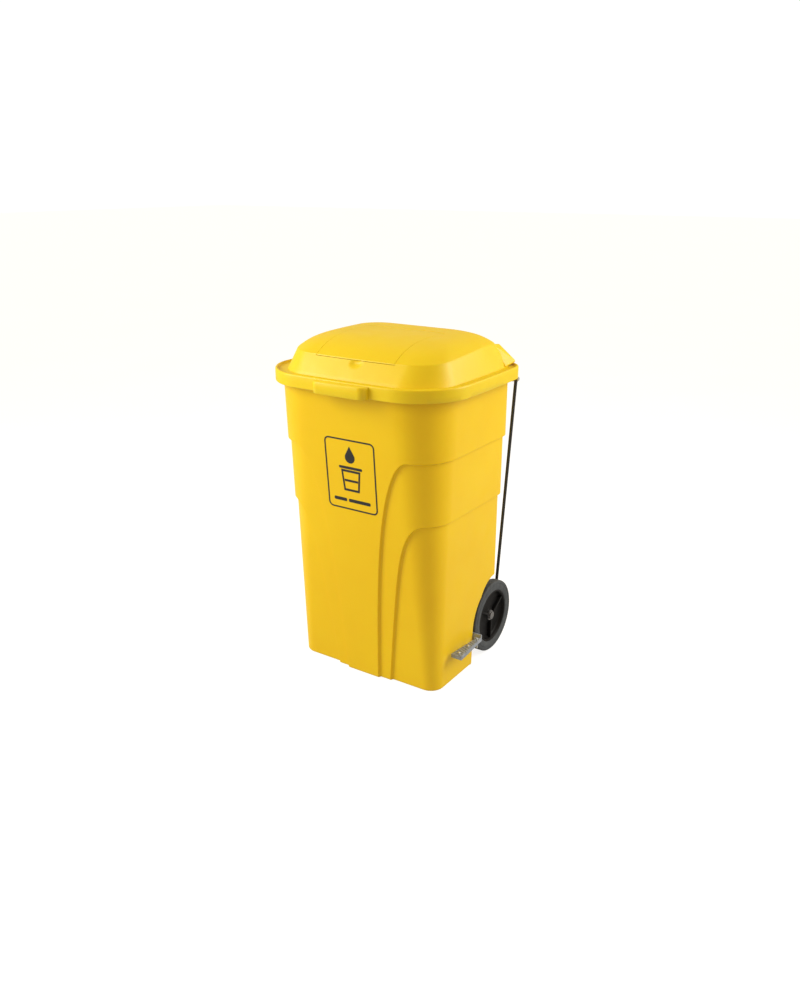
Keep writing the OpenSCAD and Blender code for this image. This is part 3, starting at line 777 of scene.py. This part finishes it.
def label():
    """A plain printed sign: a frame, a lidded can with a falling drop, and two plain bars."""
    lean = math.degrees(math.atan(-OUTLINE_GAIN[1] / TAPER_H))   # of the tub's front wall
    on_wall = tilted(lean, LABEL_X, FOOT_OUTLINE[1], 0)
    thick, proud, line = 0.45, 0.04, 4.0

    def flat(name, outline, holes=()):
        """A thin print from outlines in label millimetres."""
        bm = bmesh.new()
        loops = []
        for pts in [outline, *holes]:
            vs = [bm.verts.new((x * MM, 0, (LABEL_Z + z) * MM)) for x, z in pts]
            loops += [bm.edges.new((vs[i], vs[(i + 1) % len(vs)])) for i in range(len(vs))]
        bmesh.ops.triangle_fill(bm, use_beauty=True, edges=loops)
        made = bmesh.ops.extrude_face_region(bm, geom=bm.faces[:])
        new = [v for v in made["geom"] if isinstance(v, bmesh.types.BMVert)]
        bmesh.ops.translate(bm, vec=(0, -thick * MM, 0), verts=new)
        bmesh.ops.translate(bm, vec=(0, -proud * MM, 0), verts=bm.verts)
        bmesh.ops.recalc_face_normals(bm, faces=bm.faces)
        obj = from_bmesh(name, bm)
        obj.data.transform(on_wall)
        return obj

    def plate(cx, cz, w, h, r):
        """Outline of a rectangle with round corners."""
        pts = []
        for sx, sz, a in ((1, 1, 0), (-1, 1, 90), (-1, -1, 180), (1, -1, 270)):
            pts += arc(cx + sx * (w / 2 - r), cz + sz * (h / 2 - r), r, a, a + 90, 8)
        return pts

    hole = plate(0, 0, LABEL_W - 2 * line, LABEL_H - 2 * line, 10)
    parts = [flat("frame", plate(0, 0, LABEL_W, LABEL_H, 14), [hole])]
    can = [(-30, 14), (30, 14), (24, -44), (-24, -44)]
    can_in = [(-24.5, 8), (24.5, 8), (19.5, -38), (-19.5, -38)]
    parts.append(flat("can", can, [can_in]))
    parts.append(flat("can_lid", plate(0, 20, 72, 7, 3)))
    parts.append(flat("can_band", [(-21, -12), (21, -12), (20.4, -18), (-20.4, -18)]))
    parts.append(flat("drop", [(0, 78)] + arc(0, 48, 15, 28, -208, 30)))
    for x, w in ((-38, 40), (22, 68)):
        parts.append(flat("bar", plate(x, -70, w, 9, 3)))
    return join("sign_print", parts)


# ---------------------------------------------------------------- materials


class Surface:
    """A procedural Principled material; lengths of its textures are in metres."""

    def __init__(self, name, roughness, metallic=0.0, specular=0.5):
        self.mat = bpy.data.materials.new(name)
        self.mat.use_nodes = True
        self.nodes = self.mat.node_tree.nodes
        self.links = self.mat.node_tree.links
        self.shader = self.nodes["Principled BSDF"]
        self.shader.inputs["Metallic"].default_value = metallic
        self.shader.inputs["Roughness"].default_value = roughness
        self.shader.inputs["Specular IOR Level"].default_value = specular
        self.place = self.nodes.new("ShaderNodeTexCoord").outputs["Object"]
        self.normal = None

    def noise(self, size, detail, stretch=None):
        """Noise whose features are about size metres across."""
        place = self.place
        if stretch:
            mapping = self.nodes.new("ShaderNodeMapping")
            mapping.inputs["Scale"].default_value = stretch
            self.links.new(place, mapping.inputs["Vector"])
            place = mapping.outputs["Vector"]
        n = self.nodes.new("ShaderNodeTexNoise")
        n.inputs["Scale"].default_value = 1 / size
        n.inputs["Detail"].default_value = detail
        n.inputs["Roughness"].default_value = 0.55
        self.links.new(place, n.inputs["Vector"])
        return n.outputs["Fac"]

    def colour(self, stops, size):
        """Base colour that wanders between the stops."""
        ramp = self.nodes.new("ShaderNodeValToRGB")
        bar = ramp.color_ramp
        while len(bar.elements) < len(stops):
            bar.elements.new(0.5)
        for element, (at, rgb) in zip(bar.elements, stops):
            element.position = at
            element.color = (*rgb, 1)
        self.links.new(self.noise(size, 4.0), ramp.inputs["Fac"])
        self.links.new(ramp.outputs["Color"], self.shader.inputs["Base Color"])

    def rough(self, low, high, size, stretch=None):
        """Roughness that wanders between low and high."""
        ranged = self.nodes.new("ShaderNodeMapRange")
        ranged.inputs["From Min"].default_value = 0.3
        ranged.inputs["From Max"].default_value = 0.7
        ranged.inputs["To Min"].default_value = low
        ranged.inputs["To Max"].default_value = high
        self.links.new(self.noise(size, 5.0, stretch), ranged.inputs["Value"])
        self.links.new(ranged.outputs["Result"], self.shader.inputs["Roughness"])

    def bump(self, size, depth, strength, stretch=None, detail=2.0):
        """Relief of about depth metres; calls add up."""
        b = self.nodes.new("ShaderNodeBump")
        b.inputs["Strength"].default_value = strength
        b.inputs["Distance"].default_value = depth
        self.links.new(self.noise(size, detail, stretch), b.inputs["Height"])
        if self.normal:
            self.links.new(self.normal, b.inputs["Normal"])
        self.normal = b.outputs["Normal"]
        self.links.new(self.normal, self.shader.inputs["Normal"])


def moulded_yellow(name, light, deep):
    """Satin moulded polyethylene with a fine grain and slow waves in the wall."""
    s = Surface(name, 0.4, specular=0.3)
    s.colour([(0.3, deep), (0.7, light)], 0.22)
    s.rough(0.33, 0.43, 0.05)
    s.bump(0.0011, 0.00004, 0.55)
    s.bump(0.07, 0.0007, 0.30, detail=1.0)
    s.shader.inputs["Subsurface Weight"].default_value = 0.12
    s.shader.inputs["Subsurface Radius"].default_value = (1.0, 0.55, 0.08)
    s.shader.inputs["Subsurface Scale"].default_value = 0.004
    return s.mat


def plain_plastic(name, light, dark, low=0.4, high=0.55, specular=0.3):
    """Moulded plastic with a fine grain."""
    s = Surface(name, 0.45, specular=specular)
    s.colour([(0.3, dark), (0.7, light)], 0.012)
    s.rough(low, high, 0.015)
    s.bump(0.0008, 0.00003, 0.5)
    return s.mat


def rubber(name):
    """Dusty grey rubber."""
    s = Surface(name, 0.7, specular=0.35)
    dark, grey, light = (0.046, 0.053, 0.062), (0.062, 0.071, 0.082), (0.080, 0.090, 0.101)
    s.colour([(0.25, dark), (0.5, grey), (0.8, light)], 0.02)
    s.rough(0.55, 0.78, 0.012)
    s.bump(0.0009, 0.00006, 0.7)
    return s.mat


def plated(name, light, dark, low=0.25, high=0.42, grain=(1, 1, 1), metallic=1.0):
    """Plated steel with faint clouding; less metallic steel mirrors less of the yellow tub."""
    s = Surface(name, 0.35, metallic=metallic)
    s.colour([(0.3, dark), (0.7, light)], 0.006)
    s.rough(low, high, 0.004, stretch=grain)
    s.bump(0.0005, 0.000012, 0.6, stretch=grain)
    return s.mat


def powder_coat(name):
    """Black powder coat with a slight orange peel."""
    s = Surface(name, 0.35)
    s.colour([(0.3, (0.011, 0.011, 0.012)), (0.7, (0.020, 0.020, 0.022))], 0.01)
    s.rough(0.24, 0.38, 0.006)
    s.bump(0.0009, 0.00003, 0.5)
    return s.mat


def vinyl(name):
    """Black printing film."""
    s = Surface(name, 0.4)
    s.colour([(0.3, (0.010, 0.010, 0.011)), (0.7, (0.022, 0.022, 0.022))], 0.03)
    s.rough(0.32, 0.5, 0.01)
    s.bump(0.0015, 0.00002, 0.4)
    return s.mat


def studio_white(name):
    """Pale floor that glows white in the picture but throws little light up at the can."""
    s = Surface(name, 0.8, specular=0.1)
    s.colour([(0.3, (0.29, 0.29, 0.29)), (0.7, (0.32, 0.32, 0.32))], 0.5)
    glow = s.nodes.new("ShaderNodeMapRange")
    glow.inputs["To Min"].default_value = FLOOR_GLOW
    glow.inputs["To Max"].default_value = FLOOR_WHITE
    s.links.new(s.nodes.new("ShaderNodeLightPath").outputs["Is Camera Ray"], glow.inputs["Value"])
    s.links.new(glow.outputs["Result"], s.shader.inputs["Emission Strength"])
    s.shader.inputs["Emission Color"].default_value = (1, 1, 1, 1)
    return s.mat


def paint(obj, mat):
    """Gives the whole object one material."""
    obj.data.materials.clear()
    obj.data.materials.append(mat)
    for polygon in obj.data.polygons:
        polygon.material_index = 0


# ---------------------------------------------------------------- studio


def aimed(name, data, target, azimuth, elevation, distance):
    """A camera or light that looks at the target from an azimuth, elevation and distance."""
    az, el = math.radians(azimuth), math.radians(elevation)
    back = Vector((math.sin(az) * math.cos(el), -math.cos(az) * math.cos(el), math.sin(el)))
    obj = linked(name, data)
    obj.location = target + back * distance
    obj.rotation_euler = back.to_track_quat("Z", "Y").to_euler()
    return obj


def camera():
    """The camera at the photograph's viewing angle."""
    az = math.radians(VIEW_AZIMUTH)
    right = Vector((math.cos(az), math.sin(az), 0))
    target = right * VIEW_TARGET[0] + Vector((0, 0, VIEW_TARGET[1]))
    data = bpy.data.cameras.new("camera")
    data.lens = LENS
    bpy.context.scene.camera = aimed("camera", data, target, VIEW_AZIMUTH, VIEW_ELEVATION, VIEW_DISTANCE)


def softbox(name, azimuth, power):
    """A large soft light at an azimuth counted like the camera's, aimed at the can."""
    data = bpy.data.lights.new(name, "AREA")
    data.shape = "RECTANGLE"
    data.size, data.size_y = KEY_SIZE
    data.energy = power
    data.color = KEY_TINT
    aimed(name, data, Vector(KEY_AIM), azimuth, KEY_ELEVATION, KEY_DISTANCE)


def background():
    """Warm dim light on the can, plain white to the picture."""
    world = bpy.data.worlds.new("studio")
    world.use_nodes = True
    nodes, links = world.node_tree.nodes, world.node_tree.links
    dim = nodes["Background"]
    dim.inputs["Color"].default_value = WARM
    dim.inputs["Strength"].default_value = WORLD_LIGHT
    bright = nodes.new("ShaderNodeBackground")
    bright.inputs["Color"].default_value = (1, 1, 1, 1)
    bright.inputs["Strength"].default_value = WORLD_WHITE
    either = nodes.new("ShaderNodeMixShader")
    links.new(nodes.new("ShaderNodeLightPath").outputs["Is Camera Ray"], either.inputs["Fac"])
    links.new(dim.outputs[0], either.inputs[1])
    links.new(bright.outputs[0], either.inputs[2])
    links.new(either.outputs[0], nodes["World Output"].inputs["Surface"])
    bpy.context.scene.world = world


def studio():
    """Background, floor and lights."""
    background()
    bpy.context.scene.view_settings.view_transform = "Standard"
    bm = bmesh.new()
    bmesh.ops.create_grid(bm, x_segments=4, y_segments=4, size=30)
    floor = from_bmesh("floor", bm)
    paint(floor, studio_white("floor_white"))
    softbox("key_left", -48, 55)
    softbox("key_right", 124, 47)


# ---------------------------------------------------------------- the can


def own(piece, body, slot, mat, *nodes):
    """Hands a finished piece to its body in place of CAD nodes."""
    piece.name = piece.data.name = nodes[0] + "_shape"
    paint(piece, mat)
    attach(piece, body)
    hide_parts(*nodes)


def build():
    """Every piece with its material, and materials for the CAD nodes that stay."""
    yellow = moulded_yellow("yellow_tub", (0.870, 0.590, 0.0040), (0.840, 0.545, 0.0030))
    yellow_lid = moulded_yellow("yellow_lid", (0.830, 0.625, 0.0120), (0.800, 0.585, 0.0090))
    zinc = plated("zinc", (0.72, 0.73, 0.75), (0.55, 0.56, 0.58))
    steel = plated("steel", (0.46, 0.51, 0.60), (0.32, 0.36, 0.43), 0.3, 0.45, metallic=0.3)
    tread_steel = plated("tread_steel", (0.38, 0.43, 0.52), (0.22, 0.25, 0.31), 0.36, 0.52, metallic=0.25)
    black = plain_plastic("black_plastic", (0.0065, 0.0065, 0.0075), (0.0035, 0.0035, 0.004),
                          0.42, 0.55, specular=0.14)
    dull = plated("dull_steel", (0.34, 0.34, 0.35), (0.22, 0.22, 0.23), 0.35, 0.5)
    own(tub(), "can", "yellow_tub", yellow, "tub")
    own(label(), "can", "label_black", vinyl("label_black"), "label")
    lid_piece, flap_piece = lid()
    own(lid_piece, "lid_body", "yellow_lid", yellow_lid, "lid")
    own(flap_piece, "flap_body", "yellow_flap", yellow_lid, "flap")
    tyre_mat = rubber("tyre_rubber")
    for side, word in ((1, "right"), (-1, "left")):
        tyre, hub = wheel(side)
        own(tyre, "wheel_" + word, "tyre_grey", tyre_mat, "tyre_" + word)
        own(hub, "wheel_" + word, "hub_black", black, "hub_" + word)
    own(tread(), "pedal_body", "tread_steel", tread_steel, "pedal_tread")
    nylon = plain_plastic("nylon", (0.72, 0.71, 0.66), (0.62, 0.61, 0.56))
    shown = {
        "axle": plated("axle_steel", (0.66, 0.67, 0.69), (0.5, 0.51, 0.53), 0.2, 0.35, (0.2, 1, 1)),
        "axle_spacers": black, "lever_bush": black, "axle_washers": dull, "axle_caps": dull,
        "bush_right": nylon, "bush_left": nylon, "lid_hinge_pins": zinc, "lid_pin_clips": black,
        "flap_hinge_pins": zinc, "pedal_lever": steel, "pedal_rivets": zinc,
        "push_rod": powder_coat("rod_black"), "rod_top_pin": zinc, "rod_clips": zinc,
    }
    for node, mat in shown.items():
        paint(frame["nodes"][node], mat)


camera()
studio()
build()
